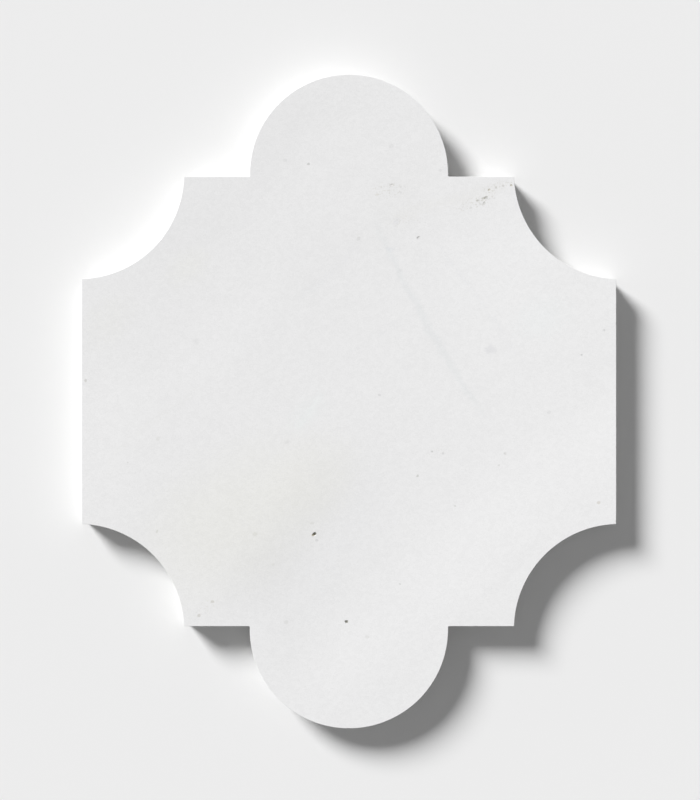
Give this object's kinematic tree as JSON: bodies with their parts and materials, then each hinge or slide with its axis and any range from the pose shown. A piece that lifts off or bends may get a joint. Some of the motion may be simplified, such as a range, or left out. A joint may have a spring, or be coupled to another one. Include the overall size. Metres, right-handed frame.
{
  "type": "marble tile",
  "caption": "Flat honed marble tile with a round lobe at each end and scooped corners that nest round the lobes of neighbouring tiles.",
  "frame": {"origin": "on the sawn back, under the middle of the tile", "axes": "+X across the tile, square to its straight sides; +Y along the tile, from lobe to lobe; +Z out of the finished face"},
  "size_m": [0.18, 0.2202, 0.01],
  "materials": {
    "marble": "honed"
  },
  "bodies": {
    "root": {"marble_tile": "marble"}
  },
  "joints": []
}
